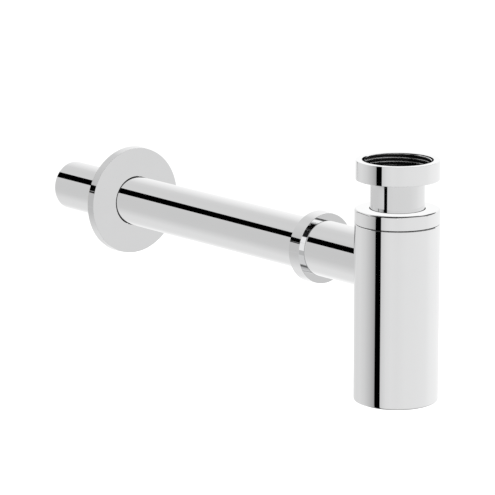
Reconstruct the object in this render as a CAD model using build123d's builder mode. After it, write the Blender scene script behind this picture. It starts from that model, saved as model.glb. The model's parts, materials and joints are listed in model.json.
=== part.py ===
"""Chrome basin bottle trap, in millimetres, with +Z up and the outlet towards +Y.

The origin lies on the inlet axis, on the sealing face of the inlet washer.
"""

import os

from build123d import *

# Waste tubes
tube_radius = 16.0
tube_wall = 1.0
tube_end_chamfer = 0.25

# Inlet nut, with the minor radius of a G 1 1/4 thread
nut_radius = 24.7
nut_thread_radius = 19.475
nut_thread_length = 6.45
nut_lead_in = 0.65
nut_web = 1.6
nut_relief_radius = 21.1
nut_edge = 0.15

# Inlet washer and the collar rolled on the inlet tube
washer_thickness = 1.6
washer_bore_gap = 0.2
washer_side_gap = 0.5
collar_overhang = 3.2
collar_thickness = 0.9
collar_fillet = 0.3

# Cap
body_radius = 25.2
neck_length = 17.5
cap_height = 8.6
cap_top_web = 2.4
cap_edge_fillet = 0.9
cap_skirt_radius = 22.2
cap_skirt_length = 5.8
cap_relief_radius = 18.8
seam_gap = 0.2
seam_chamfer = 0.25

# Seal stack under the cap
slip_ring_thickness = 1.0
seal_height = 2.7
seal_land = 0.3
seat_step = 1.9
seat_height = 2.6
ledge_gap = 1.4
ledge_thickness = 1.4

# Bottle
bottle_height = 107.15
bottle_wall = 1.8
bottle_base = 2.65
bottle_base_fillet = 0.5
water_seal = 50.0

# Outlet branch and its threaded spigot
outlet_drop = 26.5
branch_overhang = 1.0
branch_wall = 3.0
branch_shoulder = 62.45
branch_edge_fillet = 0.7
spigot_step = 0.8
spigot_length = 4.2

# Outlet nut, brazed on the outlet tube, with a rim that tapers towards the bottle
outlet_nut_radius = 22.1
outlet_nut_width = 8.4
outlet_nut_taper = 0.6
outlet_washer_thickness = 1.4
outlet_washer_step = 0.4
braze_gap = 0.03
tube_reach = 318.0

# Wall flange, with a rim that tapers towards the front, and its rubber grip ring
flange_radius = 35.4
flange_front = 249.9
flange_thickness = 5.2
flange_taper = 0.6
flange_web = 1.3
flange_rim = 1.9
flange_edge_fillet = 0.15
hub_wall = 4.0
hub_setback = 0.4
grip_section_radius = 1.2
grip_side_gap = 0.15
mark_gap = 0.85
mark_width = 0.8
mark_depth = 0.3

# Clearances
face_gap = 0.1
tube_gap = 0.35
seal_gap = 0.15
thread_gap = 0.25

# Radii that mate
tube_bore_radius = tube_radius - tube_wall
washer_bore_radius = tube_bore_radius + washer_bore_gap
collar_radius = tube_radius + collar_overhang
ledge_radius = tube_radius + ledge_gap
seat_radius = ledge_radius + seat_step
branch_radius = tube_radius + branch_overhang
branch_bore_radius = branch_radius - branch_wall
spigot_radius = branch_radius - spigot_step
outlet_washer_bore_radius = branch_bore_radius + outlet_washer_step
sliding_hole_radius = tube_radius + tube_gap
mouth_radius = cap_skirt_radius + thread_gap
bottle_bore_radius = body_radius - bottle_wall
seal_bore_radius = tube_radius + seal_gap
outlet_thread_radius = spigot_radius + thread_gap
grip_inner_radius = tube_radius + seal_gap
grip_ring_radius = grip_inner_radius + grip_section_radius
grip_groove_radius = grip_ring_radius + grip_section_radius + grip_side_gap
grip_groove_width = (grip_section_radius + grip_side_gap) * 2
hub_radius = sliding_hole_radius + hub_wall

# Heights above the sealing face
nut_top = face_gap + nut_thread_length + nut_lead_in
collar_top = -washer_thickness
collar_bottom = collar_top - collar_thickness
web_top = collar_bottom - face_gap
nut_bottom = web_top - nut_web
cap_top = nut_bottom - neck_length
cap_bottom = cap_top - cap_height
skirt_bottom = cap_bottom - cap_skirt_length
slip_ring_top = skirt_bottom - face_gap
slip_ring_bottom = slip_ring_top - slip_ring_thickness
seal_top = slip_ring_bottom - face_gap
seal_bottom = seal_top - seal_height
ledge_top = seal_bottom - face_gap
ledge_bottom = ledge_top - ledge_thickness
bottle_top = cap_bottom - seam_gap
bottle_bottom = cap_bottom - bottle_height
bottle_floor = bottle_bottom + bottle_base
outlet_height = cap_bottom - outlet_drop
dip_end = outlet_height - branch_bore_radius - water_seal

# Distances along the outlet
outlet_nut_front = branch_shoulder + seam_gap
outlet_nut_back = outlet_nut_front + outlet_nut_width
spigot_end = branch_shoulder + spigot_length
outlet_washer_front = spigot_end + face_gap
outlet_washer_back = outlet_washer_front + outlet_washer_thickness
tube_start = outlet_washer_back + face_gap
flange_back = flange_front + flange_thickness
hub_back = flange_back - hub_setback
grip_centre = (flange_front + flange_web + hub_back) / 2
mark_start = flange_back + mark_gap

across_outlet = Plane(origin=(0, 0, outlet_height), x_dir=(1, 0, 0), z_dir=(0, 1, 0))
outlet_axis = Axis((0, 0, outlet_height), (0, 1, 0))

# Inlet nut: threaded mouth, washer relief and a web that pulls on the collar
with BuildPart() as inlet_nut:
    with BuildSketch(Plane.XY.offset(nut_bottom)):
        Circle(nut_radius)
    extrude(amount=nut_top - nut_bottom)
    chamfer(inlet_nut.edges(), length=nut_edge)
    with BuildSketch(Plane.XY.offset(nut_bottom)):
        Circle(sliding_hole_radius)
    extrude(amount=nut_web, mode=Mode.SUBTRACT)
    with BuildSketch(Plane.XY.offset(web_top)):
        Circle(nut_relief_radius)
    extrude(amount=face_gap - web_top, mode=Mode.SUBTRACT)
    with BuildSketch(Plane.XY.offset(face_gap)):
        Circle(nut_thread_radius)
    extrude(amount=nut_top - face_gap, mode=Mode.SUBTRACT)
    mouth_edge = inlet_nut.edges().group_by(Axis.Z)[-1].sort_by(SortBy.RADIUS)[0]
    chamfer(mouth_edge, length=nut_lead_in)

# Inlet washer, lying on the collar inside the nut's relief
with BuildPart() as inlet_washer:
    with BuildSketch(Plane.XY.offset(collar_top)):
        Circle(nut_relief_radius - washer_side_gap)
        Circle(washer_bore_radius, mode=Mode.SUBTRACT)
    extrude(amount=washer_thickness)

# Inlet tube, from its rolled collar down to the dip end under water
with BuildPart() as inlet_tube:
    with BuildSketch(Plane.XY.offset(dip_end)):
        Circle(tube_radius)
    extrude(amount=collar_bottom - dip_end)
    with BuildSketch(Plane.XY.offset(collar_bottom)):
        Circle(collar_radius)
    extrude(amount=collar_thickness)
    collar_circles = inlet_tube.edges().filter_by(GeomType.CIRCLE).group_by(Axis.Z)[1]
    fillet(collar_circles.sort_by(SortBy.RADIUS)[0], radius=collar_fillet)
    with BuildSketch(Plane.XY.offset(dip_end)):
        Circle(tube_bore_radius)
    extrude(amount=collar_top - dip_end, mode=Mode.SUBTRACT)
    chamfer(inlet_tube.edges().group_by(Axis.Z)[0], length=tube_end_chamfer)

# Cap, screwed into the bottle's mouth by its skirt
with BuildPart() as cap:
    with BuildSketch(Plane.XY.offset(cap_bottom)):
        Circle(body_radius)
    extrude(amount=cap_height)
    fillet(cap.edges().group_by(Axis.Z)[-1], radius=cap_edge_fillet)
    chamfer(cap.edges().group_by(Axis.Z)[0], length=seam_chamfer)
    with BuildSketch(Plane.XY.offset(skirt_bottom)):
        Circle(cap_skirt_radius)
    extrude(amount=cap_skirt_length)
    with BuildSketch(Plane.XY.offset(skirt_bottom)):
        Circle(cap_relief_radius)
    extrude(amount=cap_top - cap_top_web - skirt_bottom, mode=Mode.SUBTRACT)
    with BuildSketch(Plane.XY.offset(cap_top)):
        Circle(sliding_hole_radius)
    extrude(amount=-cap_top_web, mode=Mode.SUBTRACT)

# Slip ring, which keeps the turning cap off the seal
with BuildPart() as cap_slip_ring:
    with BuildSketch(Plane.XY.offset(slip_ring_bottom)):
        Circle(mouth_radius - tube_gap)
        Circle(sliding_hole_radius, mode=Mode.SUBTRACT)
    extrude(amount=slip_ring_thickness)

# Cone seal around the inlet tube
with BuildPart() as cap_seal:
    with BuildSketch(Plane.XZ):
        with BuildLine():
            Polyline(
                (seal_bore_radius, seal_top),
                (mouth_radius - tube_gap, seal_top),
                (mouth_radius - tube_gap, seal_top - seal_land),
                (seat_radius - seal_gap, seal_bottom),
                (seal_bore_radius, seal_bottom),
                close=True,
            )
        make_face()
    revolve(axis=Axis.Z)

# Bottle, with the seal's seat at its mouth and the outlet branch brazed on
with BuildPart() as bottle:
    with BuildSketch(Plane.XY.offset(bottle_bottom)):
        Circle(body_radius)
    extrude(amount=bottle_top - bottle_bottom)
    fillet(bottle.edges().group_by(Axis.Z)[0], radius=bottle_base_fillet)
    chamfer(bottle.edges().group_by(Axis.Z)[-1], length=seam_chamfer)
    with BuildSketch(across_outlet):
        Circle(branch_radius)
    extrude(amount=branch_shoulder)
    shoulder_edge = bottle.edges().filter_by(GeomType.CIRCLE).sort_by(Axis.Y)[-1]
    fillet(shoulder_edge, radius=branch_edge_fillet)
    with BuildSketch(across_outlet.offset(branch_shoulder)):
        Circle(spigot_radius)
    extrude(amount=spigot_length)
    with BuildSketch(Plane.XY.offset(bottle_floor)):
        Circle(bottle_bore_radius)
    extrude(amount=ledge_bottom - bottle_floor, mode=Mode.SUBTRACT)
    with BuildSketch(Plane.XZ):
        with BuildLine():
            Polyline(
                (0, ledge_bottom),
                (ledge_radius, ledge_bottom),
                (ledge_radius, ledge_top),
                (seat_radius, ledge_top),
                (mouth_radius, ledge_top + seat_height),
                (mouth_radius, bottle_top),
                (0, bottle_top),
                close=True,
            )
        make_face()
    revolve(axis=Axis.Z, mode=Mode.SUBTRACT)
    with BuildSketch(across_outlet):
        Circle(branch_bore_radius)
    extrude(amount=spigot_end, mode=Mode.SUBTRACT)

# Outlet nut: threaded on the spigot at the front, brazed on the tube behind
with BuildPart() as outlet_nut:
    with BuildSketch(Plane.YZ):
        with BuildLine():
            Polyline(
                (outlet_nut_front, outlet_height),
                (outlet_nut_back, outlet_height),
                (outlet_nut_back, outlet_height + outlet_nut_radius),
                (outlet_nut_front, outlet_height + outlet_nut_radius - outlet_nut_taper),
                close=True,
            )
        make_face()
    revolve(axis=outlet_axis)
    chamfer(outlet_nut.edges().filter_by(GeomType.CIRCLE), length=nut_edge)
    with BuildSketch(across_outlet.offset(outlet_nut_front)):
        Circle(outlet_thread_radius)
    extrude(amount=tube_start - outlet_nut_front, mode=Mode.SUBTRACT)
    with BuildSketch(across_outlet.offset(tube_start)):
        Circle(tube_radius + braze_gap)
    extrude(amount=outlet_nut_back - tube_start, mode=Mode.SUBTRACT)

# Outlet washer, squeezed between the spigot and the tube
with BuildPart() as outlet_washer:
    with BuildSketch(across_outlet.offset(outlet_washer_front)):
        Circle(spigot_radius)
        Circle(outlet_washer_bore_radius, mode=Mode.SUBTRACT)
    extrude(amount=outlet_washer_thickness)

# Outlet tube, with a scribed ring that marks how far it enters the wall
with BuildPart() as outlet_tube:
    with BuildSketch(across_outlet.offset(tube_start)):
        Circle(tube_radius)
        Circle(tube_bore_radius, mode=Mode.SUBTRACT)
    extrude(amount=tube_reach - tube_start)
    chamfer(outlet_tube.edges().group_by(Axis.Y)[-1], length=tube_end_chamfer)
    with BuildSketch(across_outlet.offset(mark_start)):
        Circle(tube_radius)
        Circle(tube_radius - mark_depth, mode=Mode.SUBTRACT)
    extrude(amount=mark_width, mode=Mode.SUBTRACT)

# Wall flange: a hollow dish with a grooved hub around the tube
with BuildPart() as wall_flange:
    with BuildSketch(Plane.YZ):
        with BuildLine():
            Polyline(
                (flange_front, outlet_height),
                (flange_back, outlet_height),
                (flange_back, outlet_height + flange_radius),
                (flange_front, outlet_height + flange_radius - flange_taper),
                close=True,
            )
        make_face()
    revolve(axis=outlet_axis)
    fillet(wall_flange.edges().group_by(Axis.Y)[0], radius=flange_edge_fillet)
    with BuildSketch(across_outlet.offset(flange_front + flange_web)):
        Circle(flange_radius - flange_rim)
    extrude(amount=flange_thickness - flange_web, mode=Mode.SUBTRACT)
    with BuildSketch(across_outlet.offset(flange_front + flange_web)):
        Circle(hub_radius)
    extrude(amount=hub_back - flange_front - flange_web)
    with BuildSketch(across_outlet.offset(flange_front)):
        Circle(sliding_hole_radius)
    extrude(amount=flange_thickness, mode=Mode.SUBTRACT)
    with BuildSketch(across_outlet.offset(grip_centre - grip_groove_width / 2)):
        Circle(grip_groove_radius)
    extrude(amount=grip_groove_width, mode=Mode.SUBTRACT)

# Rubber ring in the hub, which grips the tube
with BuildPart() as flange_grip_ring:
    with BuildSketch(Plane.YZ):
        with Locations((grip_centre, outlet_height + grip_ring_radius)):
            Circle(grip_section_radius)
    revolve(axis=outlet_axis)

pieces = {
    "inlet_nut": inlet_nut,
    "inlet_washer": inlet_washer,
    "inlet_tube": inlet_tube,
    "cap": cap,
    "cap_slip_ring": cap_slip_ring,
    "cap_seal": cap_seal,
    "bottle": bottle,
    "outlet_nut": outlet_nut,
    "outlet_washer": outlet_washer,
    "outlet_tube": outlet_tube,
    "wall_flange": wall_flange,
    "flange_grip_ring": flange_grip_ring,
}

os.makedirs("parts", exist_ok=True)
for name, piece in pieces.items():
    piece.part.label = name
    export_step(piece.part, f"parts/{name}.step")
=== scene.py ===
"""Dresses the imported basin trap.

Builds its turned meshes with their threads, the chrome, rubber and plastic finishes, the studio and
the camera.
"""

import json
import logging
import math
from dataclasses import dataclass
from enum import Enum
from typing import Callable

import bmesh
import bpy
import numpy as np
from mathutils import Matrix, Vector


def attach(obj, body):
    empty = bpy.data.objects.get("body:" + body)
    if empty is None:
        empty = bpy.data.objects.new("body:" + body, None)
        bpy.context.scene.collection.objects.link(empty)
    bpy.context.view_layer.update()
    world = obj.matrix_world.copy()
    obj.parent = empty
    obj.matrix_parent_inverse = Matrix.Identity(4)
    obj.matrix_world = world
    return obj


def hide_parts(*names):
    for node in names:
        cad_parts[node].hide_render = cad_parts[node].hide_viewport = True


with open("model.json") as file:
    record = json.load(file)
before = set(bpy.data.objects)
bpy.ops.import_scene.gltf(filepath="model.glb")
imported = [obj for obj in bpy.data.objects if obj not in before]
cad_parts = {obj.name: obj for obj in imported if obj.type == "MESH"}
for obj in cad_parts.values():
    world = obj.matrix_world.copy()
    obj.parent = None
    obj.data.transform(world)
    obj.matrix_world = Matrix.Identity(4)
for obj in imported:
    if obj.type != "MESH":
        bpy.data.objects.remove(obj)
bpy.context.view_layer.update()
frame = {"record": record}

log = logging.getLogger("basin_trap")

Colour = tuple[float, float, float, float]
Span = tuple[float, float]
Tones = tuple[tuple[float, float], ...]
Socket = bpy.types.NodeSocket
Tree = bpy.types.NodeTree

MM = 0.001
BLACK: Colour = (0.0, 0.0, 0.0, 1.0)
WHITE: Colour = (1.0, 1.0, 1.0, 1.0)
# Painted shade that darkens the roots of the union nut's thread.
ROOT_SHADE_BLACK: Colour = (0.04, 0.04, 0.04, 1.0)

# Sizes that several pieces share, in millimetres. The record's mounts give the first three.
MOUNTS = {mount["name"]: mount for mount in frame["record"]["mounts"]}
OUTLET_HEIGHT = MOUNTS["outlet_spigot"]["pos_m"][2] / MM
TUBE_RADIUS = MOUNTS["outlet_spigot"]["dims"]["r_mm"]
INLET_CREST = MOUNTS["inlet_thread"]["dims"]["r_mm"]
TUBE_BORE = 15.0
SLIP_HOLE = 16.35
BODY_RADIUS = 25.2
SCREW_PITCH = 1.5


class Spindle(Enum):
    """The axis that a piece is turned about."""

    INLET = "vertical axis of the inlet and the bottle"
    OUTLET = "level axis of the outlet tube"


class Slot(Enum):
    """Material slots of the record."""

    CHROME = "chrome"
    RUBBER = "rubber"
    PLASTIC = "plastic"


@dataclass(frozen=True)
class Thread:
    """A screw thread cut into a turned wall, in millimetres.

    A positive depth cuts away from the axis, as in a nut, and a negative one towards it, as on a spigot.
    The ridge stops short at its end, counted in turns, where one is given.
    """

    crest: float
    depth: float
    pitch: float
    turn: float = 0.0
    end: float = math.inf

    def groove(self, angles: np.ndarray, height: np.ndarray) -> np.ndarray:
        """Gives the wall's radius with the groove in it.

        Args:
            angles: angles around the axis, in radians.
            height: places along the axis.

        Returns:
            The radius at each angle.
        """
        around = angles / math.tau
        phase = height / self.pitch - around + self.turn
        depth = np.where(np.round(phase) + around > self.end, 1.0, 0.5 - 0.5 * np.cos(math.tau * phase))
        return self.crest + self.depth * depth

    def cut(self, radius: np.ndarray, angles: np.ndarray, height: np.ndarray) -> np.ndarray:
        """Cuts the thread into a plain wall.

        Args:
            radius: the plain wall's radius at each angle.
            angles: angles around the axis, in radians.
            height: places along the axis.

        Returns:
            The radius that is left, whichever is deeper.
        """
        pick = np.maximum if self.depth > 0 else np.minimum
        return pick(radius, self.groove(angles, height))


@dataclass(frozen=True)
class Corner:
    """One corner of a turned section, in millimetres, and what the stretch that starts there is like.

    The finish counts in the piece's list of finishes, and the step is how far apart the stretch's rows are.
    """

    radius: float
    height: float
    fillet: float = 0.0
    finish: int = 0
    thread: Thread | None = None
    step: float | None = None


@dataclass
class Section:
    """The section of a turned piece, walked corner by corner."""

    corners: list[Corner]
    closed: bool = True
    arc_steps: int = 7
    thread_steps: int = 36
    hold: float = 0.06
    most_hold: float = 0.3

    def rows(self) -> list[tuple[float, float, Corner]]:
        """Rounds the corners and adds a row beside each end of a straight stretch, so that it shades flat.

        Returns:
            Radius, height and the corner that owns the stretch after it, for each row.
        """
        count = len(self.corners)
        spots = [np.array([c.radius, c.height]) for c in self.corners]
        arcs: list[list[np.ndarray]] = []
        for i, corner in enumerate(self.corners):
            ends = not self.closed and i in (0, count - 1)
            if corner.fillet <= 0 or ends:
                arcs.append([spots[i]])
                continue
            arcs.append(self._arc(spots[i - 1], spots[i], spots[(i + 1) % count], corner.fillet))
        out: list[tuple[float, float, Corner]] = []
        for i in range(count if self.closed else count - 1):
            corner, after = self.corners[i], arcs[(i + 1) % count]
            points = arcs[i] + self._between(arcs[i][-1], after[0], corner)
            out.extend((p[0], p[1], corner) for p in points)
        if not self.closed:
            out.extend((p[0], p[1], self.corners[-1]) for p in arcs[-1])
        return out

    def _arc(self, before: np.ndarray, at: np.ndarray, after: np.ndarray, radius: float) -> list[np.ndarray]:
        """Gives the points of a fillet.

        Args:
            before: the corner before it.
            at: the corner that is rounded.
            after: the corner after it.
            radius: the fillet's radius.

        Returns:
            The points from one tangent to the other.
        """
        way_in = (at - before) / np.linalg.norm(at - before)
        way_out = (after - at) / np.linalg.norm(after - at)
        turn = math.acos(float(np.clip(way_in @ way_out, -1.0, 1.0)))
        start = at - way_in * radius * math.tan(turn / 2)
        side = way_out - way_in * float(way_in @ way_out)
        side /= np.linalg.norm(side)
        centre = start + side * radius
        angles = np.linspace(0.0, turn, self.arc_steps + 1)
        return [centre - side * radius * math.cos(a) + way_in * radius * math.sin(a) for a in angles]

    def _between(self, start: np.ndarray, end: np.ndarray, corner: Corner) -> list[np.ndarray]:
        """Gives the rows inside a straight stretch.

        Args:
            start: where the stretch starts.
            end: where it ends.
            corner: the corner that owns it.

        Returns:
            The points between, without the two ends.
        """
        length = float(np.linalg.norm(end - start))
        if corner.thread is not None or corner.step is not None:
            step = corner.step or corner.thread.pitch / self.thread_steps
            shares = np.linspace(0.0, 1.0, max(2, math.ceil(length / step)) + 1)[1:-1]
        else:
            near = min(self.hold / length, self.most_hold)
            shares = np.array([near, 1.0 - near])
        return [start + (end - start) * s for s in shares]


@dataclass
class Turned:
    """A mesh turned from a section about one of the trap's axes.

    A seat is the radius of the upright wall that the piece starts from, and lost marks faces to leave out by
    their middles.
    """

    name: str
    section: Section
    spindle: Spindle
    columns: int = 192
    seat: float | None = None
    lost: Callable[[np.ndarray], np.ndarray] | None = None
    weld: float = 1e-7
    sharp_angle: float = 28.0

    def build(self) -> bpy.types.Object:
        """Builds the mesh.

        Returns:
            The new object, in the trap's frame and in metres.
        """
        angles = np.linspace(0.0, math.tau, self.columns, endpoint=False)
        rows = self.section.rows()
        radius = np.array([[r] * self.columns for r, _, _ in rows])
        height = np.array([[h] * self.columns for _, h, _ in rows])
        owners = [corner for _, _, corner in rows]
        for i, owner in enumerate(owners):
            for thread in {owner.thread, owners[i - 1].thread} - {None}:
                radius[i] = thread.cut(radius[i], angles, height[i])
        if self.seat is not None:
            height = np.maximum(height, np.sqrt(self.seat**2 - (radius * np.sin(angles)) ** 2))
        return self._mesh(self._place(radius, height, angles), [c.finish for c in owners])

    def _place(self, radius: np.ndarray, height: np.ndarray, angles: np.ndarray) -> np.ndarray:
        """Puts the rows in the trap's frame.

        Args:
            radius: radius of each row at each angle.
            height: height of each row at each angle.
            angles: angles around the axis.

        Returns:
            The points as rows, columns and coordinates.
        """
        across, along = radius * np.cos(angles), radius * np.sin(angles)
        if self.spindle is Spindle.INLET:
            return np.stack([across, along, height], axis=-1)
        return np.stack([along, height, across + OUTLET_HEIGHT], axis=-1)

    def _mesh(self, points: np.ndarray, finishes: list[int]) -> bpy.types.Object:
        """Joins the rows into faces.

        Args:
            points: the points as rows, columns and coordinates, in millimetres.
            finishes: the finish's index after each row.

        Returns:
            The new object.
        """
        count, columns = points.shape[:2]
        index = np.arange(count * columns).reshape(count, columns)
        after = np.roll(index, -1, axis=0)
        quads = np.stack([index, np.roll(index, -1, 1), np.roll(after, -1, 1), after], axis=-1)
        kinds = np.repeat(np.array(finishes)[:, None], columns, axis=1)
        if not self.section.closed:
            quads, kinds = quads[:-1], kinds[:-1]
        quads, kinds = quads.reshape(-1, 4), kinds.reshape(-1)
        flat = points.reshape(-1, 3)
        if self.lost is not None:
            kept = ~self.lost(flat[quads].mean(axis=1))
            quads, kinds = quads[kept], kinds[kept]
        mesh = bpy.data.meshes.new(self.name)
        mesh.from_pydata((flat * MM).tolist(), [], quads.tolist())
        mesh.polygons.foreach_set("material_index", kinds.astype(np.int32))
        work = bmesh.new()
        work.from_mesh(mesh)
        bmesh.ops.remove_doubles(work, verts=work.verts, dist=self.weld)
        bmesh.ops.delete(work, geom=[v for v in work.verts if not v.link_faces], context="VERTS")
        bmesh.ops.recalc_face_normals(work, faces=work.faces)
        work.to_mesh(mesh)
        work.free()
        mesh.shade_smooth()
        mesh.set_sharp_from_angle(angle=math.radians(self.sharp_angle))
        made = bpy.data.objects.new(self.name, mesh)
        bpy.context.scene.collection.objects.link(made)
        return made


def fill(tree: Tree, socket: Socket, value: Socket | float | Colour) -> None:
    """Links an input to another socket, or sets its own value.

    Args:
        tree: the nodes that the input belongs to.
        socket: the input.
        value: an output to link, or a number or colour to set.
    """
    if isinstance(value, Socket):
        tree.links.new(value, socket)
    else:
        socket.default_value = value


def math_node(tree: Tree, kind: str, *terms: Socket | float) -> Socket:
    """Adds a Math node.

    Args:
        tree: the nodes that it joins.
        kind: the operation.
        terms: its sockets or numbers.

    Returns:
        The result's socket.
    """
    node = tree.nodes.new("ShaderNodeMath")
    node.operation = kind
    for socket, term in zip(node.inputs, terms):
        fill(tree, socket, term)
    return node.outputs["Value"]


def ranged(
    tree: Tree, value: Socket, span: Span, low: Socket | float = 0.0, high: Socket | float = 1.0
) -> Socket:
    """Maps a value from one span to another, and holds it at the ends.

    Args:
        tree: the nodes that it joins.
        value: the value's socket.
        span: where the value starts and ends.
        low: what the start becomes.
        high: what the end becomes.

    Returns:
        The result's socket.
    """
    node = tree.nodes.new("ShaderNodeMapRange")
    labels = ("Value", "From Min", "From Max", "To Min", "To Max")
    for label, given in zip(labels, (value, *span, low, high)):
        fill(tree, node.inputs[label], given)
    return node.outputs["Result"]


def mixed(tree: Tree, share: Socket, first: Socket | Colour, second: Socket | Colour) -> Socket:
    """Mixes two colours.

    Args:
        tree: the nodes that it joins.
        share: the share of the second one.
        first: the first one, as a socket or a colour.
        second: the second one.

    Returns:
        The colour's socket.
    """
    node = tree.nodes.new("ShaderNodeMix")
    node.data_type = "RGBA"
    for label, given in (("Factor", share), ("A", first), ("B", second)):
        fill(tree, node.inputs[label], given)
    return node.outputs["Result"]


def length_of(tree: Tree, vector: Socket) -> Socket:
    """Measures a vector.

    Args:
        tree: the nodes that it joins.
        vector: the vector's socket.

    Returns:
        The length's socket.
    """
    node = tree.nodes.new("ShaderNodeVectorMath")
    node.operation = "LENGTH"
    tree.links.new(vector, node.inputs[0])
    return node.outputs["Value"]


def bumped(tree: Tree, height: Socket, strength: float, relief: float) -> Socket:
    """Adds a Bump node.

    Args:
        tree: the nodes that it joins.
        height: the height's socket.
        strength: how strongly the bump shows.
        relief: how deep it is, in millimetres.

    Returns:
        The normal's socket.
    """
    node = tree.nodes.new("ShaderNodeBump")
    node.inputs["Strength"].default_value = strength
    node.inputs["Distance"].default_value = relief * MM
    tree.links.new(height, node.inputs["Height"])
    return node.outputs["Normal"]


def placed(tree: Tree, group: Tree, values: dict[str, float | Colour]) -> bpy.types.ShaderNode:
    """Places a node group in a material.

    Args:
        tree: the material's nodes.
        group: the group.
        values: the material's own values for the group's inputs, by name.

    Returns:
        The group's node.
    """
    node = tree.nodes.new("ShaderNodeGroup")
    node.node_tree = group
    for label, value in values.items():
        node.inputs[label].default_value = value
    return node


class NodeGroups:
    """Shader node groups that more than one finish uses."""

    cloud_detail: float = 5.0
    cloud_roughness: float = 0.6
    cloud_span: Span = (0.3, 0.7)
    grain_detail: float = 8.0
    patch_scale: float = 160.0
    patch_roughness: Span = (0.45, 0.75)

    @staticmethod
    def _start(name: str, inputs: dict[str, str], outputs: dict[str, str]) -> Tree:
        """Starts a group with named sockets.

        Args:
            name: the group's name.
            inputs: names of what goes in, with the kind of socket.
            outputs: names of what comes out, with the kind of socket.

        Returns:
            The group, with its input and output nodes in it.
        """
        tree = bpy.data.node_groups.new(name, "ShaderNodeTree")
        for direction, sockets in (("INPUT", inputs), ("OUTPUT", outputs)):
            for label, kind in sockets.items():
                tree.interface.new_socket(name=label, in_out=direction, socket_type=f"NodeSocket{kind}")
        tree.nodes.new("NodeGroupInput")
        tree.nodes.new("NodeGroupOutput")
        return tree

    @staticmethod
    def _noise(tree: Tree, scale: Socket | float, detail: float = 2.0, roughness: float = 0.5) -> Socket:
        """Adds noise in the object's own space.

        Args:
            tree: the group's nodes.
            scale: the noise's scale.
            detail: how many finer layers it has.
            roughness: how strong those are.

        Returns:
            The value's socket.
        """
        where = tree.nodes.new("ShaderNodeTexCoord")
        noise = tree.nodes.new("ShaderNodeTexNoise")
        noise.inputs["Detail"].default_value = detail
        noise.inputs["Roughness"].default_value = roughness
        fill(tree, noise.inputs["Scale"], scale)
        tree.links.new(where.outputs["Object"], noise.inputs["Vector"])
        return noise.outputs["Fac"]

    @staticmethod
    def _end(tree: Tree, results: dict[str, Socket]) -> Tree:
        """Links a group's results to its output node.

        Args:
            tree: the group.
            results: the outputs' names and what they put out.

        Returns:
            The same group.
        """
        for label, result in results.items():
            tree.links.new(result, tree.nodes["Group Output"].inputs[label])
        return tree

    @classmethod
    def polish(cls) -> Tree:
        """Builds the cloudy variation of a polished or drawn metal.

        Returns:
            The group, which mixes two tints and two roughnesses.
        """
        if "metal_polish" in bpy.data.node_groups:
            return bpy.data.node_groups["metal_polish"]
        inputs = {"Scale": "Float", "Bright": "Color", "Dull": "Color", "Smooth": "Float", "Worn": "Float"}
        outputs = {"Colour": "Color", "Roughness": "Float", "Height": "Float"}
        tree = cls._start("metal_polish", inputs, outputs)
        given = tree.nodes["Group Input"].outputs
        cloud = cls._noise(tree, given["Scale"], cls.cloud_detail, cls.cloud_roughness)
        colour = mixed(tree, cloud, given["Bright"], given["Dull"])
        roughness = ranged(tree, cloud, cls.cloud_span, given["Smooth"], given["Worn"])
        return cls._end(tree, {"Colour": colour, "Roughness": roughness, "Height": cloud})

    @classmethod
    def moulded(cls) -> Tree:
        """Builds the fine grain that a mould leaves on rubber or plastic.

        Returns:
            The group, which mixes two tints and puts out a roughness and a height.
        """
        if "moulded_grain" in bpy.data.node_groups:
            return bpy.data.node_groups["moulded_grain"]
        inputs = {"Scale": "Float", "Base": "Color", "Bloom": "Color"}
        outputs = {"Colour": "Color", "Height": "Float", "Roughness": "Float"}
        tree = cls._start("moulded_grain", inputs, outputs)
        given = tree.nodes["Group Input"].outputs
        grain = cls._noise(tree, given["Scale"], cls.grain_detail)
        patch = cls._noise(tree, cls.patch_scale)
        colour = mixed(tree, patch, given["Base"], given["Bloom"])
        roughness = ranged(tree, patch, (0.0, 1.0), *cls.patch_roughness)
        return cls._end(tree, {"Colour": colour, "Height": grain, "Roughness": roughness})


def new_material(name: str) -> tuple[bpy.types.Material, bpy.types.ShaderNode]:
    """Starts a material.

    Args:
        name: the material's name.

    Returns:
        The material and its Principled shader.
    """
    material = bpy.data.materials.new(name)
    material.use_nodes = True
    return material, material.node_tree.nodes["Principled BSDF"]


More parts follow.
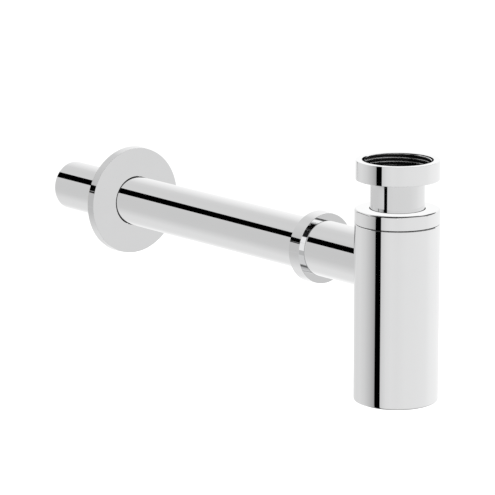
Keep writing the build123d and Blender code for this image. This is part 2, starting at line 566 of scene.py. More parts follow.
@dataclass(frozen=True)
class Metal:
    """A polished, plated or drawn metal surface.

    Painted shade in a thread's roots, where there is some, starts and is full at two distances from the
    inlet's axis, in millimetres.
    """

    name: str
    bright: Colour
    dull: Colour
    smooth: float
    worn: float
    scale: float
    relief: float = 0.0
    bump: float = 0.5
    painted_root_shade: Span | None = None

    def material(self) -> bpy.types.Material:
        """Builds the finish once.

        Returns:
            The material.
        """
        if self.name in bpy.data.materials:
            return bpy.data.materials[self.name]
        material, shader = new_material(self.name)
        tree = material.node_tree
        shader.inputs["Metallic"].default_value = 1.0
        values = {"Bright": self.bright, "Dull": self.dull, "Smooth": self.smooth, "Worn": self.worn}
        polish = placed(tree, NodeGroups.polish(), {"Scale": self.scale, **values}).outputs
        colour = polish["Colour"]
        # Painted shade: the thread's roots are darkened by their distance from the axis.
        if self.painted_root_shade is not None:
            colour = self._paint_root_shade(tree, colour)
        tree.links.new(colour, shader.inputs["Base Color"])
        tree.links.new(polish["Roughness"], shader.inputs["Roughness"])
        if self.relief > 0:
            tree.links.new(bumped(tree, polish["Height"], self.bump, self.relief), shader.inputs["Normal"])
        return material

    def _paint_root_shade(self, tree: Tree, colour: Socket) -> Socket:
        """Darkens the metal away from the inlet's axis: painted shade in the roots of a thread.

        Args:
            tree: the material's nodes.
            colour: the metal's colour without the shade.

        Returns:
            The colour's socket, with the painted shade.
        """
        where = tree.nodes.new("ShaderNodeTexCoord")
        level = tree.nodes.new("ShaderNodeVectorMath")
        level.operation = "MULTIPLY"
        level.inputs[1].default_value = (1.0, 1.0, 0.0)
        tree.links.new(where.outputs["Object"], level.inputs[0])
        start, full = self.painted_root_shade
        share = ranged(tree, length_of(tree, level.outputs["Vector"]), (start * MM, full * MM))
        return mixed(tree, share, colour, ROOT_SHADE_BLACK)


@dataclass(frozen=True)
class Moulding:
    """A moulded rubber or plastic surface."""

    name: str
    base: Colour
    bloom: Colour
    scale: float
    relief: float
    bump: float = 0.6

    def material(self) -> bpy.types.Material:
        """Builds the finish once.

        Returns:
            The material.
        """
        if self.name in bpy.data.materials:
            return bpy.data.materials[self.name]
        material, shader = new_material(self.name)
        tree = material.node_tree
        values = {"Scale": self.scale, "Base": self.base, "Bloom": self.bloom}
        grain = placed(tree, NodeGroups.moulded(), values).outputs
        tree.links.new(grain["Colour"], shader.inputs["Base Color"])
        tree.links.new(grain["Roughness"], shader.inputs["Roughness"])
        tree.links.new(bumped(tree, grain["Height"], self.bump, self.relief), shader.inputs["Normal"])
        return material


TURNED_CHROME = Metal("turned_chrome", (0.93, 0.932, 0.935, 1), (0.91, 0.912, 0.916, 1), 0.012, 0.03, 60.0)
TUBE_CHROME = Metal("tube_chrome", (0.85, 0.852, 0.855, 1), (0.83, 0.832, 0.836, 1), 0.014, 0.034, 45.0)
# A darker copy of the chrome: painted shade on the wall flange.
SHADED_FLANGE_CHROME = Metal("flange_chrome", (0.81, 0.812, 0.815, 1), (0.77, 0.772, 0.776, 1), 0.014, 0.034, 30.0)
# A darker copy of the chrome: painted shade on the outlet nut's front face.
SHADED_FACE_CHROME = Metal("faced_chrome", (0.7, 0.702, 0.705, 1), (0.66, 0.662, 0.666, 1), 0.014, 0.034, 60.0)
# Dark metal that paints the shade in the seam between cap and bottle and in the hollows inside them.
PAINTED_SHADE_METAL = Metal("dull_metal", (0.14, 0.14, 0.14, 1), (0.08, 0.08, 0.08, 1), 0.35, 0.5, 120.0)
THREAD_METAL = Metal("thread_metal", (0.28, 0.28, 0.28, 1), (0.2, 0.2, 0.2, 1), 0.28, 0.4, 120.0)
# Its thread roots are darkened with painted shade, away from the inlet's axis.
NUT_THREAD = Metal(
    "nut_thread", (0.8, 0.8, 0.8, 1), (0.66, 0.66, 0.66, 1), 0.24, 0.32, 120.0, painted_root_shade=(19.6, 20.6)
)
BARE_BRASS = Metal("bare_brass", (0.62, 0.5, 0.3, 1), (0.42, 0.32, 0.18, 1), 0.25, 0.5, 180.0, relief=0.03)
BLACK_RUBBER = Moulding("black_rubber", (0.012, 0.012, 0.013, 1), (0.035, 0.035, 0.036, 1), 2400.0, 0.05)
WHITE_PLASTIC = Moulding("white_plastic", (0.8, 0.79, 0.75, 1), (0.72, 0.71, 0.67, 1), 1500.0, 0.02)


def dress(
    piece: bpy.types.Object,
    finishes: list[Metal | Moulding],
    body: str,
    nodes: tuple[str, ...] = (),
    mirrored: bool = True,
) -> None:
    """Gives a piece its finishes and its place on a body.

    Args:
        piece: the new mesh.
        finishes: its finishes, in the order of its material indices.
        body: the body that it rides on.
        nodes: the CAD nodes that it stands for.
        mirrored: whether the chrome around it shows its reflection.
    """
    piece.visible_glossy = mirrored
    for finish in finishes:
        piece.data.materials.append(finish.material())
    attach(piece, body)
    if nodes:
        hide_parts(*nodes)
    log.info("%s: %d faces on %s", piece.name, len(piece.data.polygons), body)


@dataclass
class InletUnion:
    """The inlet tube with its rolled collar, the union nut and the washer in it."""

    tube_radius: float = TUBE_RADIUS
    tube_bore: float = TUBE_BORE
    collar_radius: float = 19.2
    collar_top: float = -1.6
    collar_bottom: float = -2.5
    collar_fillet: float = 0.3
    bore_fillet: float = 0.35
    dip_end: float = -120.8
    end_chamfer: float = 0.25
    nut_radius: float = 24.7
    nut_top: float = 7.2
    nut_bottom: float = -4.2
    nut_edge: float = 0.06
    web_top: float = -2.6
    hole_radius: float = SLIP_HOLE
    relief_radius: float = 21.1
    thread: Thread = Thread(crest=INLET_CREST, depth=1.48, pitch=2.309, turn=0.19, end=3.308)
    thread_bottom: float = 0.1
    lead_in: float = 0.3
    plated: float = 0.9
    washer_radius: float = 20.6
    washer_bore: float = 15.2
    washer_top_fillet: float = 0.2
    washer_bottom_fillet: float = 0.15
    groove_places: tuple[float, float] = (0.66, 0.33)
    groove_depth: float = 0.12
    groove_half: float = 0.3
    groove_fillet: float = 0.05

    def build(self) -> None:
        """Builds the nut, the washer and the tube."""
        self._nut()
        self._washer()
        self._tube()

    def _nut(self) -> None:
        """Builds the union nut with its helical thread."""
        e, mouth = self.nut_edge, self.thread.crest + self.lead_in
        corners = [
            Corner(self.nut_radius, self.nut_bottom + e),
            Corner(self.nut_radius, self.nut_top - e),
            Corner(self.nut_radius - e, self.nut_top),
            Corner(mouth, self.nut_top, thread=self.thread),
            Corner(self.thread.crest, self.nut_top - self.lead_in, thread=self.thread),
            Corner(self.thread.crest, self.nut_top - self.plated, finish=1, thread=self.thread),
            Corner(self.thread.crest, self.thread_bottom, finish=1),
            Corner(self.relief_radius, self.thread_bottom, finish=1),
            Corner(self.relief_radius, self.web_top, finish=1),
            Corner(self.hole_radius, self.web_top),
            Corner(self.hole_radius, self.nut_bottom),
            Corner(self.nut_radius - e, self.nut_bottom),
        ]
        nut = Turned("union_nut", Section(corners), Spindle.INLET, columns=360).build()
        dress(nut, [TURNED_CHROME, NUT_THREAD], "inlet_union", ("inlet_nut",))

    def _washer(self) -> None:
        """Builds the flat washer with two sealing grooves in its face."""
        top, bottom = 0.0, self.collar_top
        span = self.washer_radius - self.washer_bore
        corners = [
            Corner(self.washer_bore, bottom, self.washer_bottom_fillet),
            Corner(self.washer_radius, bottom, self.washer_bottom_fillet),
            Corner(self.washer_radius, top, self.washer_top_fillet),
        ]
        for place in self.groove_places:
            middle = self.washer_bore + span * place
            corners.append(Corner(middle + self.groove_half, top, self.groove_fillet))
            corners.append(Corner(middle, top - self.groove_depth, self.groove_fillet))
            corners.append(Corner(middle - self.groove_half, top, self.groove_fillet))
        corners.append(Corner(self.washer_bore, top, self.washer_top_fillet))
        washer = Turned("union_washer", Section(corners), Spindle.INLET).build()
        dress(washer, [BLACK_RUBBER], "inlet", ("inlet_washer",))

    def _tube(self) -> None:
        """Builds the dip tube with its collar."""
        c = self.end_chamfer
        corners = [
            Corner(self.tube_bore, self.collar_top, self.bore_fillet),
            Corner(self.collar_radius, self.collar_top, self.collar_fillet),
            Corner(self.collar_radius, self.collar_bottom, self.collar_fillet),
            Corner(self.tube_radius, self.collar_bottom, self.collar_fillet),
            Corner(self.tube_radius, self.dip_end + c),
            Corner(self.tube_radius - c, self.dip_end),
            Corner(self.tube_bore + c, self.dip_end),
            Corner(self.tube_bore, self.dip_end + c, finish=1),
        ]
        tube = Turned("dip_tube", Section(corners), Spindle.INLET, columns=224).build()
        dress(tube, [TUBE_CHROME, BARE_BRASS], "inlet", ("inlet_tube",), mirrored=False)


@dataclass
class CapStack:
    """The screwed cap with the slip ring and the cone seal under it."""

    radius: float = BODY_RADIUS
    top: float = -21.7
    bottom: float = -30.05
    edge_fillet: float = 1.2
    seam_chamfer: float = 0.1
    hole_radius: float = SLIP_HOLE
    hole_fillet: float = 0.15
    top_web: float = 2.4
    relief_radius: float = 18.8
    relief_fillet: float = 0.3
    skirt_bottom: float = -36.1
    skirt_chamfer: float = 0.3
    thread: Thread = Thread(crest=22.2, depth=-0.6, pitch=SCREW_PITCH)
    run_out: float = 0.9
    ring_top: float = -36.2
    ring_bottom: float = -37.2
    ring_radius: float = 22.1
    ring_fillet: float = 0.15
    seal_top: float = -37.3
    seal_bottom: float = -40.0
    seal_land: float = 0.3
    seal_bore: float = 16.15
    seal_foot: float = 19.15
    seal_foot_fillet: float = 0.3
    seal_land_fillet: float = 0.1
    seal_bottom_fillet: float = 0.25
    seal_top_fillet: float = 0.2

    def build(self) -> None:
        """Builds the cap, the slip ring and the seal."""
        self._cap()
        self._ring()
        self._seal()

    def _cap(self) -> None:
        """Builds the cap with the thread on its skirt."""
        c, lead, web = self.seam_chamfer, self.skirt_chamfer, self.top - self.top_web
        corners = [
            Corner(self.radius, self.bottom + c),
            Corner(self.radius, self.top, self.edge_fillet),
            # The hole, the web and the relief take the painted shade metal, for the shade inside the cap.
            Corner(self.hole_radius, self.top, self.hole_fillet, finish=1),
            Corner(self.hole_radius, web, finish=1),
            Corner(self.relief_radius, web, self.relief_fillet, finish=1),
            Corner(self.relief_radius, self.skirt_bottom, finish=2),
            Corner(self.thread.crest - lead, self.skirt_bottom, finish=2, thread=self.thread),
            Corner(self.thread.crest, self.skirt_bottom + lead, finish=2, thread=self.thread),
            # The band just under the seam and the cap's bottom face take the painted shade metal, to darken
            # the seam.
            Corner(self.thread.crest, self.bottom - self.run_out, finish=1),
            Corner(self.thread.crest, self.bottom, finish=1),
            Corner(self.radius - c, self.bottom),
        ]
        cap = Turned("bottle_cap", Section(corners), Spindle.INLET, columns=256).build()
        dress(cap, [TURNED_CHROME, PAINTED_SHADE_METAL, BARE_BRASS], "cap_body", ("cap",))

    def _ring(self) -> None:
        """Builds the slip ring."""
        corners = [
            Corner(self.hole_radius, self.ring_bottom, self.ring_fillet),
            Corner(self.ring_radius, self.ring_bottom, self.ring_fillet),
            Corner(self.ring_radius, self.ring_top, self.ring_fillet),
            Corner(self.hole_radius, self.ring_top, self.ring_fillet),
        ]
        ring = Turned("cap_ring_plate", Section(corners), Spindle.INLET).build()
        dress(ring, [WHITE_PLASTIC], "cap_ring", ("cap_slip_ring",))

    def _seal(self) -> None:
        """Builds the cone seal."""
        corners = [
            Corner(self.seal_bore, self.seal_bottom, self.seal_bottom_fillet),
            Corner(self.seal_foot, self.seal_bottom, self.seal_foot_fillet),
            Corner(self.ring_radius, self.seal_top - self.seal_land, self.seal_land_fillet),
            Corner(self.ring_radius, self.seal_top, self.seal_land_fillet),
            Corner(self.seal_bore, self.seal_top, self.seal_top_fillet),
        ]
        seal = Turned("cone_seal", Section(corners), Spindle.INLET).build()
        dress(seal, [BLACK_RUBBER], "seal_set", ("cap_seal",))


@dataclass
class Bottle:
    """The bottle with the seal's seat at its mouth, and the branch with its spigot on the side."""

    radius: float = BODY_RADIUS
    top: float = -30.5
    bottom: float = -137.4
    floor: float = -134.8
    floor_fillet: float = 0.8
    bore: float = 23.4
    bore_margin: float = 0.1
    base_fillet: float = 0.9
    seam_chamfer: float = 0.4
    thread: Thread = Thread(crest=22.45, depth=0.45, pitch=SCREW_PITCH)
    ledge_top: float = -40.1
    ledge_bottom: float = -41.5
    ledge_radius: float = 17.4
    seat_radius: float = 19.3
    seat_height: float = 2.6
    wall_step: float = 1.2
    branch_radius: float = 17.0
    branch_bore: float = 14.0
    shoulder: float = 62.45
    shoulder_fillet: float = 0.25
    spigot_root: float = 0.2
    spigot_end: float = 66.65
    spigot_chamfer: float = 0.3
    spigot_fillet: float = 0.2
    spigot_thread: Thread = Thread(crest=16.2, depth=-0.5, pitch=SCREW_PITCH)

    def build(self) -> None:
        """Builds the cup, its branch and the spigot."""
        self._shell()
        self._branch()
        self._spigot()

    def _in_branch(self, middles: np.ndarray) -> np.ndarray:
        """Marks the cup's faces that the branch opens.

        Args:
            middles: the faces' middles, in millimetres.

        Returns:
            True for a face inside the opening.
        """
        away = np.hypot(middles[:, 0], middles[:, 2] - OUTLET_HEIGHT)
        wall = np.hypot(middles[:, 0], middles[:, 1]) > self.bore - self.bore_margin
        return (middles[:, 1] > 0) & wall & (away < (self.branch_radius + self.branch_bore) / 2)

    def _shell(self) -> None:
        """Builds the cup."""
        c, step = self.seam_chamfer, self.wall_step
        corners = [
            Corner(0.0, self.bottom),
            Corner(self.radius, self.bottom, self.base_fillet, step=step),
            Corner(self.radius, self.top - c),
            # The chamfer at the bottle's mouth takes the painted shade metal, to darken the seam.
            Corner(self.radius - c, self.top, finish=1),
            Corner(self.thread.crest, self.top, finish=2, thread=self.thread),
            Corner(self.thread.crest, self.ledge_top + self.seat_height, finish=2),
            Corner(self.seat_radius, self.ledge_top, finish=2),
            Corner(self.ledge_radius, self.ledge_top, finish=2),
            Corner(self.ledge_radius, self.ledge_bottom, finish=2),
            Corner(self.bore, self.ledge_bottom, finish=2, step=step),
            Corner(self.bore, self.floor, self.floor_fillet, finish=2),
            Corner(0.0, self.floor, finish=2),
        ]
        section = Section(corners, closed=False)
        shell = Turned("bottle_cup", section, Spindle.INLET, columns=256, lost=self._in_branch).build()
        dress(shell, [TURNED_CHROME, PAINTED_SHADE_METAL, BARE_BRASS], "bottle_body", ("bottle",))

    def _branch(self) -> None:
        """Builds the branch from the cup's inner wall to its shoulder."""
        corners = [
            Corner(self.branch_bore, 0.0),
            Corner(self.branch_radius, 0.0),
            Corner(self.branch_radius, self.shoulder, self.shoulder_fillet),
            Corner(self.branch_bore, self.shoulder, finish=1),
        ]
        section = Section(corners)
        branch = Turned("outlet_branch", section, Spindle.OUTLET, columns=224, seat=self.bore).build()
        dress(branch, [TUBE_CHROME, THREAD_METAL], "bottle_body")

    def _spigot(self) -> None:
        """Builds the threaded spigot on the branch's end."""
        crest, start, c = self.spigot_thread.crest, self.shoulder - self.spigot_root, self.spigot_chamfer
        corners = [
            Corner(self.branch_bore, start),
            Corner(crest, start, thread=self.spigot_thread),
            Corner(crest, self.spigot_end - c, thread=self.spigot_thread),
            Corner(crest - c, self.spigot_end),
            Corner(self.branch_bore, self.spigot_end, self.spigot_fillet),
        ]
        spigot = Turned("branch_spigot", Section(corners), Spindle.OUTLET, columns=224).build()
        dress(spigot, [THREAD_METAL], "bottle_body", mirrored=False)


@dataclass
class Outlet:
    """The straight outlet tube with the nut brazed on it and the washer in the nut."""

    nut_radius: float = 22.1
    nut_face: float = 21.5
    nut_front: float = 62.65
    nut_back: float = 71.05
    nut_edge: float = 0.06
    thread: Thread = Thread(crest=16.45, depth=0.5, pitch=SCREW_PITCH)
    thread_chamfer: float = 0.2
    tube_start: float = 68.25
    tube_end: float = 318.0
    tube_radius: float = TUBE_RADIUS
    tube_bore: float = TUBE_BORE
    socket_radius: float = 16.03
    end_chamfer: float = 0.25
    mark_start: float = 255.95
    mark_end: float = 256.75
    mark_depth: float = 0.3
    washer_front: float = 66.75
    washer_back: float = 68.15
    washer_radius: float = 16.2
    washer_bore: float = 14.4
    washer_fillet: float = 0.15

    def build(self) -> None:
        """Builds the nut, the washer and the tube."""
        self._nut()
        self._washer()
        self._tube()

    def _nut(self) -> None:
        """Builds the round nut with the thread that takes the spigot."""
        e, c, crest = self.nut_edge, self.thread_chamfer, self.thread.crest
        corners = [
            Corner(self.nut_face, self.nut_front + e),
            Corner(self.nut_radius, self.nut_back - e),
            Corner(self.nut_radius - e, self.nut_back),
            Corner(self.socket_radius, self.nut_back),
            Corner(self.socket_radius, self.tube_start, finish=1),
            Corner(crest, self.tube_start, finish=1, thread=self.thread),
            Corner(crest, self.nut_front + c, finish=1, thread=self.thread),
            Corner(crest + c, self.nut_front, finish=2),
            Corner(self.nut_face - e, self.nut_front),
        ]
        nut = Turned("outlet_ring_nut", Section(corners), Spindle.OUTLET, columns=256).build()
        # The nut's front face takes the darker copy of the chrome: painted shade.
        finishes = [TUBE_CHROME, THREAD_METAL, SHADED_FACE_CHROME]
        dress(nut, finishes, "outlet", ("outlet_nut",), mirrored=False)

    def _washer(self) -> None:
        """Builds the flat washer."""
        corners = [
            Corner(self.washer_bore, self.washer_front, self.washer_fillet),
            Corner(self.washer_radius, self.washer_front, self.washer_fillet),
            Corner(self.washer_radius, self.washer_back, self.washer_fillet),
            Corner(self.washer_bore, self.washer_back, self.washer_fillet),
        ]
        washer = Turned("outlet_flat_washer", Section(corners), Spindle.OUTLET).build()
        dress(washer, [BLACK_RUBBER], "outlet_gasket", ("outlet_washer",), mirrored=False)

    def _tube(self) -> None:
        """Builds the tube with its scribed ring."""
        c, groove = self.end_chamfer, self.tube_radius - self.mark_depth
        corners = [
            Corner(self.tube_radius, self.tube_start),
            Corner(self.tube_radius, self.mark_start),
            Corner(groove, self.mark_start),
            Corner(groove, self.mark_end),
            Corner(self.tube_radius, self.mark_end),
            Corner(self.tube_radius, self.tube_end - c),
            Corner(self.tube_radius - c, self.tube_end, finish=1),
            Corner(self.tube_bore + c, self.tube_end, finish=1),
            Corner(self.tube_bore, self.tube_end - c, finish=1),
            Corner(self.tube_bore, self.tube_start, finish=1),
        ]
        tube = Turned("wall_tube", Section(corners), Spindle.OUTLET, columns=224).build()
        dress(tube, [TUBE_CHROME, BARE_BRASS], "outlet", ("outlet_tube",), mirrored=False)


@dataclass
class WallFlange:
    """The hollow flange that covers the hole in the wall, and the rubber ring that grips the tube."""

    radius: float = 35.4
    face_radius: float = 34.8
    front: float = 249.9
    back: float = 255.1
    web: float = 1.3
    rim: float = 1.9
    face_fillet: float = 0.06
    edge_fillet: float = 0.1
    inside_fillet: float = 0.4
    hole_radius: float = SLIP_HOLE
    lip_radius: float = 16.2
    hub_radius: float = 20.35
    hub_back: float = 254.7
    groove_radius: float = 18.7
    groove_half: float = 1.35
    ring_radius: float = 17.35
    ring_section: float = 1.2
    ring_steps: int = 28

    def build(self) -> None:
        """Builds the flange and its grip ring."""
        self._flange()
        self._ring()

    @property
    def ring_place(self) -> float:
        """Gives the grip ring's place along the tube."""
        return (self.front + self.web + self.hub_back) / 2

    def _flange(self) -> None:
        """Builds the dish with its grooved hub."""
        low, high = self.ring_place - self.groove_half, self.ring_place + self.groove_half
        inside, bend, edge = self.front + self.web, self.inside_fillet, self.edge_fillet
        corners = [
            Corner(self.lip_radius, self.front, edge),
            Corner(self.face_radius, self.front, self.face_fillet),
            Corner(self.radius, self.back, edge, finish=1),
            Corner(self.radius - self.rim, self.back, edge, finish=1),
            Corner(self.radius - self.rim, inside, bend, finish=1),
            Corner(self.hub_radius, inside, bend, finish=1),
            Corner(self.hub_radius, self.hub_back, edge, finish=1),
            Corner(self.hole_radius, self.hub_back, edge, finish=1),
            Corner(self.hole_radius, high, finish=1),
            Corner(self.groove_radius, high, finish=1),
            Corner(self.groove_radius, low, finish=1),
            # The lip's bore takes the painted shade metal.
            Corner(self.lip_radius, low, finish=2),
        ]
        flange = Turned("wall_cover", Section(corners), Spindle.OUTLET, columns=288).build()
        # The flange's chrome is a darker copy of it: painted shade.
        finishes = [SHADED_FLANGE_CHROME, BARE_BRASS, PAINTED_SHADE_METAL]
        dress(flange, finishes, "flange", ("wall_flange",), mirrored=False)

    def _ring(self) -> None:
        """Builds the rubber ring in the hub's groove."""
        radius, place, size = self.ring_radius, self.ring_place, self.ring_section
        turns = np.linspace(0.0, math.tau, self.ring_steps, endpoint=False)
        corners = [Corner(radius + size * math.cos(a), place + size * math.sin(a)) for a in turns]
        ring = Turned("grip_ring", Section(corners), Spindle.OUTLET).build()
        dress(ring, [BLACK_RUBBER], "flange", ("flange_grip_ring",))


@dataclass
class DirectionNodes:
    """Nodes in the world that turn the direction looked in into masks and tones."""

    tree: Tree
    blur: float
    gain: float

    def __post_init__(self) -> None:
        """Adds the direction's parts, its angle about the vertical and its angle about the outlet's axis."""
        where = self.tree.nodes.new("ShaderNodeTexCoord")
        split = self.tree.nodes.new("ShaderNodeSeparateXYZ")
        self.tree.links.new(where.outputs["Generated"], split.inputs["Vector"])
        self.x, self.y, self.z = (split.outputs[part] for part in "XYZ")
        self.azimuth = self.math("ARCTAN2", self.x, self.math("MULTIPLY", self.y, -1.0))
        self.rise = self.math("ARCTAN2", self.z, self.math("MULTIPLY", self.x, -1.0))

    def math(self, kind: str, *terms: Socket | float) -> Socket:
        """Adds a Math node of the given kind with its terms, and gives the result's socket."""
        return math_node(self.tree, kind, *terms)

    def mix(self, share: Socket, first: Socket | Colour, second: Socket | Colour) -> Socket:
        """Mixes two colours by the second one's share, and gives the colour's socket."""
        return mixed(self.tree, share, first, second)

    def step(self, past: Socket) -> Socket:
        """Gives 0 before an edge and 1 past it, blurred, from the distance past it."""
        return ranged(self.tree, past, (-self.blur, self.blur))

    def outside(self, value: Socket, span: Span) -> Socket:
        """Gives how far a value is outside a span.

        Args:
            value: the value's socket.
            span: the span's two ends.

        Returns:
            The distance's socket, negative inside the span.
        """
        middle, half = sum(span) / 2, (span[1] - span[0]) / 2
        return self.math("SUBTRACT", self.math("ABSOLUTE", self.math("SUBTRACT", value, middle)), half)

    def inside(self, value: Socket, span: Span) -> Socket:
        """Gives how far a value is inside a span, negative outside it."""
        return self.math("MULTIPLY", self.outside(value, span), -1.0)

    def tones(self, angle: Socket, stops: Tones) -> Socket:
        """Turns an angle into greys.

        Args:
            angle: the angle, in radians.
            stops: angles from -180 to 180 degrees, with their tones.

        Returns:
            The colour's socket.
        """
        ramp = self.tree.nodes.new("ShaderNodeValToRGB")
        marks = ramp.color_ramp.elements
        for place, _ in stops[1:-1]:
            marks.new(place / 360 + 0.5)
        for mark, (_, tone) in zip(marks, stops):
            level = tone * self.gain
            mark.color = (level, level, level, 1.0)
        share = self.math("ADD", self.math("DIVIDE", angle, math.tau), 0.5)
        self.tree.links.new(share, ramp.inputs["Fac"])
        return ramp.outputs["Color"]


@dataclass
class Studio:
    """The floor, the soft lamp and the studio walls that the chrome reflects.

    Lengths are in metres and angles in degrees. A y or z of the walls is a part of the direction looked in,
    from -1 to 1.
    """

    # Walls: tones by azimuth, how bright they are in all, and how soft the edges of strips are.
    tones: Tones = (
        (-180, 0.68), (-159, 0.69), (-137, 0.62), (-118, 0.496), (-108, 0.4), (-104, 0.31), (-85, 0.61),
        (-73, 0.7), (-59, 0.73), (-41, 0.72), (-19, 0.745), (9, 0.753), (41, 0.775), (60, 0.83), (84, 0.86),
        (105, 0.89), (125, 0.93), (139, 0.97), (152, 0.84), (165, 0.71), (180, 0.68),
    )
    gain: float = 1.07
    blur: float = 0.006

    # Tall black strip that the upright pieces mirror: its azimuths.
    tall_strip: Span = (-103.4, -87.0)

    # Low band that the neck mirrors: its heights, its tones, and how far in the tall strip's left edge is.
    neck_z: Span = (-0.2115, -0.2012)
    neck_tones: Tones = (
        (-180, 0.66), (-165, 0.63), (-137, 0.63), (-101, 0.69), (-84, 0.69), (-59, 0.71), (-19, 0.713),
        (9, 0.722), (41, 0.775), (60, 0.83), (84, 0.86), (105, 0.89), (125, 0.93), (139, 0.97), (152, 0.84),
        (165, 0.71), (180, 0.66),
    )
    neck_inset: float = 1.9

    # Long black strip that the level tubes mirror: its two edges, each an angle and its growth with y, the y
    # where those angles hold, and the y where the strip ends.
    long_strip_top: tuple[float, float] = (54.1, 215.0)
    long_strip_bottom: tuple[float, float] = (30.0, 145.0)
    long_strip_y: float = 0.748
    long_strip_end: float = 0.55

    # Dark roof panel.
    roof_y: Span = (-0.65, 0.55)
    roof_z: float = 0.45
    roof_tone: float = 0.1

    # Narrow panel that the outlet nut's face mirrors: its place, its tones, and the heights it leaves out.
    side_y: Span = (-0.7385, -0.7205)
    side_gap_z: Span = (-0.37, -0.16)
    side_tones: Tones = (
        (-180, 0.8), (-131, 1.24), (-102, 1.33), (-86, 0.95), (-76, 1.5), (-45, 1.12), (-30, 0.94),
        (-25, 1.28), (42, 1.28), (45, 0.012), (83, 0.012), (86, 0.3), (101, 0.46), (122, 0.2), (128, 1.4),
        (150, 1.4), (154, 0.04), (170, 0.08), (180, 0.05),
    )

    # Plain heights without the panel, and without the long strip except between two values of y.
    plain_z: Span = (0.204, 0.214)
    plain_y: Span = (0.625, 0.845)

    # Light from below: where it starts, and how it changes with y.
    low_z: float = -0.33
    low_y: Span = (0.45, 0.65)
    low_lift: Span = (-1.0, 0.5)

    backdrop: Colour = (1.1, 1.1, 1.1, 1.0)
    floor_place: tuple[float, float, float] = (0.0, 0.1, -0.6)
    floor_radius: float = 2.4
    floor_sides: int = 128
    floor_colour: Colour = (0.8, 0.8, 0.8, 1.0)
    floor_roughness: float = 0.9
    glow_reach: Span = (0.5, 1.6)
    glow: Span = (0.45, 1.0)
    lamp_size: float = 1.4
    lamp_energy: float = 14.0
    lamp_place: tuple[float, float, float] = (-0.5, -0.5, 1.3)
    lamp_aim: tuple[float, float, float] = (0.0, 0.1, -0.05)

    def build(self) -> None:
        """Builds the world, the floor and the lamp."""
        self._world()
        self._floor()
        self._lamp()

    def _world(self) -> None:
        """Builds the studio walls as tones by direction, and white for the camera."""
        world = bpy.data.worlds.new("studio")
        bpy.context.scene.world = world
        world.use_nodes = True
        tree = world.node_tree
        room = DirectionNodes(tree, self.blur, self.gain)
        neck = room.math("LESS_THAN", room.outside(room.z, self.neck_z), 0.0)
        plain = room.inside(room.z, self.plain_z)
        strips = room.math("MULTIPLY", self._long_strip(room, plain), self._tall_strip(room, neck))
        lit = room.math("MULTIPLY", strips, self._roof(room))
        tones, neck_tones = (room.tones(room.azimuth, stops) for stops in (self.tones, self.neck_tones))
        walls = room.mix(lit, BLACK, room.mix(neck, tones, neck_tones))
        walls = room.mix(self._side(room, plain), walls, room.tones(room.rise, self.side_tones))
        path = tree.nodes.new("ShaderNodeLightPath")
        background = tree.nodes["Background"].inputs
        tree.links.new(room.mix(path.outputs["Is Camera Ray"], walls, self.backdrop), background["Color"])
        tree.links.new(self._strength(room), background["Strength"])

    def _long_strip(self, room: DirectionNodes, plain: Socket) -> Socket:
        """Masks the long strip.

        Args:
            room: the world's nodes.
            plain: how far inside the plain heights the direction is.

        Returns:
            The mask's socket, 0 in the strip and 1 outside it.
        """
        along = room.math("SUBTRACT", room.y, self.long_strip_y)
        top, bottom = (
            room.math("MULTIPLY_ADD", along, math.radians(slope), math.radians(angle))
            for angle, slope in (self.long_strip_top, self.long_strip_bottom)
        )
        past = room.math("SUBTRACT", room.rise, top)
        for other in (
            room.math("SUBTRACT", bottom, room.rise),
            room.math("MINIMUM", plain, room.outside(room.y, self.plain_y)),
            room.math("SUBTRACT", self.long_strip_end, room.y),
        ):
            past = room.math("MAXIMUM", past, other)
        return room.step(past)

    def _tall_strip(self, room: DirectionNodes, neck: Socket) -> Socket:
        """Masks the tall strip.

        Args:
            room: the world's nodes.
            neck: 1 in the neck's band and 0 elsewhere.

        Returns:
            The mask's socket, 0 in the strip and 1 outside it.
        """
        left, right = (math.radians(angle) for angle in self.tall_strip)
        left_edge = room.math("MULTIPLY_ADD", neck, math.radians(self.neck_inset), left)
        before = room.math("SUBTRACT", left_edge, room.azimuth)
        beyond = room.math("SUBTRACT", room.azimuth, right)
        return room.step(room.math("MAXIMUM", before, beyond))

    def _roof(self, room: DirectionNodes) -> Socket:
        """Masks the roof panel.

        Args:
            room: the world's nodes.

        Returns:
            The mask's socket, the roof's tone in the panel and 1 outside it.
        """
        beside, under = room.outside(room.y, self.roof_y), room.math("SUBTRACT", self.roof_z, room.z)
        return room.math("MAXIMUM", room.step(room.math("MAXIMUM", beside, under)), self.roof_tone)

    def _side(self, room: DirectionNodes, plain: Socket) -> Socket:
        """Masks the narrow panel.

        Args:
            room: the world's nodes.
            plain: how far inside the plain heights the direction is.

        Returns:
            The mask's socket, 1 in the panel and 0 outside it.
        """
        place, gap = room.inside(room.y, self.side_y), room.outside(room.z, self.side_gap_z)
        panel = room.math("MULTIPLY", room.step(place), room.step(gap))
        return room.math("MULTIPLY", panel, room.math("LESS_THAN", plain, 0.0))

    def _strength(self, room: DirectionNodes) -> Socket:
        """Changes the light that comes from below.

        Args:
            room: the world's nodes.

        Returns:
            The strength's socket.
        """
        below = room.math("MAXIMUM", room.math("SUBTRACT", self.low_z, room.z), 0.0)
        lift = ranged(room.tree, room.y, self.low_y, *self.low_lift)
        return room.math("MULTIPLY_ADD", below, lift, 1.0)

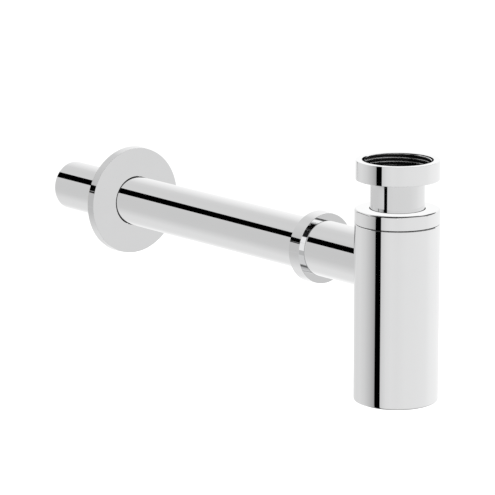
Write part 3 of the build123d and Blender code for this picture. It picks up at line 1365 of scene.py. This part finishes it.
    def _floor(self) -> None:
        """Builds the pale floor: white to the camera, apart from the shadow, and clear from below."""
        work = bmesh.new()
        bmesh.ops.create_circle(work, cap_ends=True, segments=self.floor_sides, radius=self.floor_radius)
        mesh = bpy.data.meshes.new("studio_floor")
        work.to_mesh(mesh)
        work.free()
        floor = bpy.data.objects.new("studio_floor", mesh)
        floor.location = self.floor_place
        floor.visible_glossy = False
        bpy.context.scene.collection.objects.link(floor)
        material, shader = new_material("pale_floor")
        tree = material.node_tree
        shader.inputs["Base Color"].default_value = self.floor_colour
        shader.inputs["Roughness"].default_value = self.floor_roughness
        shader.inputs["Emission Color"].default_value = WHITE
        where = tree.nodes.new("ShaderNodeTexCoord")
        path = tree.nodes.new("ShaderNodeLightPath")
        side = tree.nodes.new("ShaderNodeNewGeometry")
        glow = ranged(tree, length_of(tree, where.outputs["Object"]), self.glow_reach, *self.glow)
        seen = math_node(tree, "MULTIPLY", glow, path.outputs["Is Camera Ray"])
        front = math_node(tree, "SUBTRACT", 1.0, side.outputs["Backfacing"])
        tree.links.new(seen, shader.inputs["Emission Strength"])
        tree.links.new(front, shader.inputs["Alpha"])
        mesh.materials.append(material)

    def _lamp(self) -> None:
        """Builds one large soft lamp overhead."""
        data = bpy.data.lights.new("softbox", "AREA")
        data.shape = "DISK"
        data.size = self.lamp_size
        data.energy = self.lamp_energy
        lamp = bpy.data.objects.new("softbox", data)
        lamp.location = self.lamp_place
        aim = Vector(self.lamp_aim) - lamp.location
        lamp.rotation_euler = aim.to_track_quat("-Z", "Y").to_euler()
        lamp.visible_glossy = False
        bpy.context.scene.collection.objects.link(lamp)


@dataclass
class PhotoCamera:
    """The camera at the photograph's viewing angle, in degrees and millimetres."""

    azimuth: float = -40.195
    elevation: float = 12.9491
    roll: float = -0.2071
    distance: float = 1506.661
    aside: float = -87.576
    height: float = -45.035
    lens: float = 187.071
    sensor: float = 36.0
    reach: float = 50000.0

    def build(self) -> None:
        """Builds the camera and makes it the scene's own."""
        a, e, r = (math.radians(v) for v in (self.azimuth, self.elevation, self.roll))
        back = Vector((math.sin(a) * math.cos(e), -math.cos(a) * math.cos(e), math.sin(e)))
        level = Vector((math.cos(a), math.sin(a), 0.0))
        upright = back.cross(level)
        right = level * math.cos(r) + upright * math.sin(r)
        up = upright * math.cos(r) - level * math.sin(r)
        place = (level * self.aside + Vector((0, 0, self.height)) + back * self.distance) * MM
        data = bpy.data.cameras.new("photo_camera")
        data.sensor_width = self.sensor
        data.lens = self.lens
        data.clip_end = self.reach * MM
        camera = bpy.data.objects.new("photo_camera", data)
        camera.matrix_world = Matrix.Translation(place) @ Matrix((right, up, back)).transposed().to_4x4()
        bpy.context.scene.collection.objects.link(camera)
        bpy.context.scene.camera = camera


def main() -> None:
    """Builds the trap's pieces, the studio and the camera in order."""
    logging.basicConfig(level=logging.INFO, format="%(name)s: %(message)s")
    bpy.context.scene.view_settings.view_transform = "Standard"
    for assembly in (InletUnion(), CapStack(), Bottle(), Outlet(), WallFlange()):
        log.info("building %s", type(assembly).__name__)
        assembly.build()
    Studio().build()
    PhotoCamera().build()


if __name__ == "__main__":
    main()
